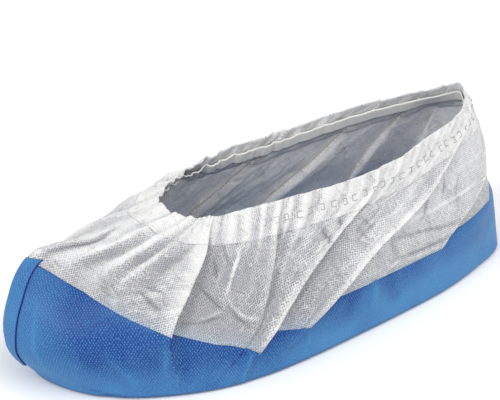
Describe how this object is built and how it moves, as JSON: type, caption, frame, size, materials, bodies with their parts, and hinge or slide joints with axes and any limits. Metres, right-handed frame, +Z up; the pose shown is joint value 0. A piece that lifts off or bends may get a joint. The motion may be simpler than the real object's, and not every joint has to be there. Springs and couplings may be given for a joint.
{
  "type": "anti-slip shoe cover",
  "caption": "Disposable overshoe with a white nonwoven upper, an elasticated gathered opening and a blue plastic film sole, in the shape it has when worn over a shoe.",
  "frame": {"origin": "middle of the bounding box, on the floor under the sole", "axes": "+Z up, -Y towards the toe, +Y towards the heel, +X towards the near side"},
  "size_m": [0.1344, 0.3408, 0.1067],
  "materials": {
    "film": "thin blue polyethylene film with a fine raised dot emboss, soft sheen",
    "nonwoven": "white spunbond nonwoven with small point bonds, matt",
    "hem": "doubled white nonwoven, gathered, with a row of small open stitches",
    "elastic": "flat woven elastic, off-white, matt",
    "seam_film": "folded and welded strip of the same blue film"
  },
  "bodies": {
    "root": {"sole_film": "film", "upper": "nonwoven", "hem": "hem", "elastic": "elastic", "toe_seam": "seam_film", "heel_seam": "seam_film"}
  },
  "joints": []
}
